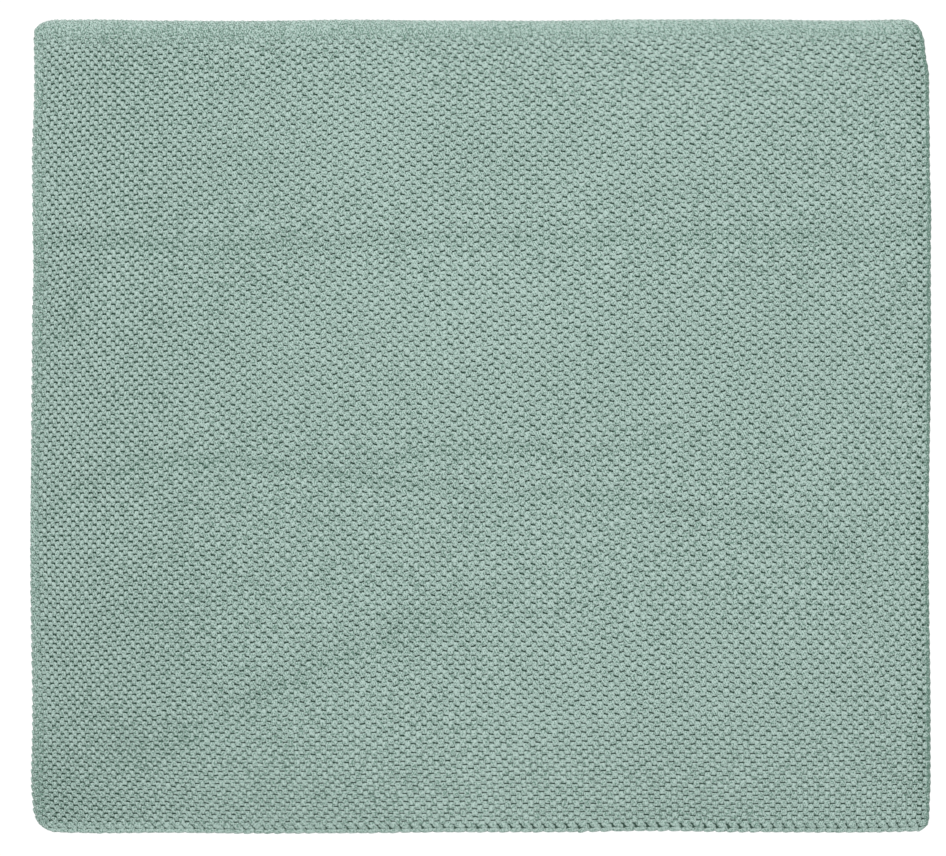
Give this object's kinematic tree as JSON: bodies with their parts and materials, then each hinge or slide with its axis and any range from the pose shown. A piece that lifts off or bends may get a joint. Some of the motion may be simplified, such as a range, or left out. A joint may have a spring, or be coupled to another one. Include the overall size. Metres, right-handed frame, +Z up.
{
  "type": "folded knitted blanket",
  "caption": "Small knitted blanket in garter stitch, folded in half and then in thirds, lying flat with its cast-off edge in front.",
  "frame": {"origin": "centre of the folded blanket's box in plan, on the surface that it lies on", "axes": "+X from the half fold towards the selvedges, +Y from the cast-off edge towards the last fold, +Z up through the layers"},
  "size_m": [0.377, 0.3408, 0.0216],
  "materials": {
    "sage_cotton": "matte"
  },
  "bodies": {
    "root": {"blanket": "sage_cotton"}
  },
  "joints": []
}
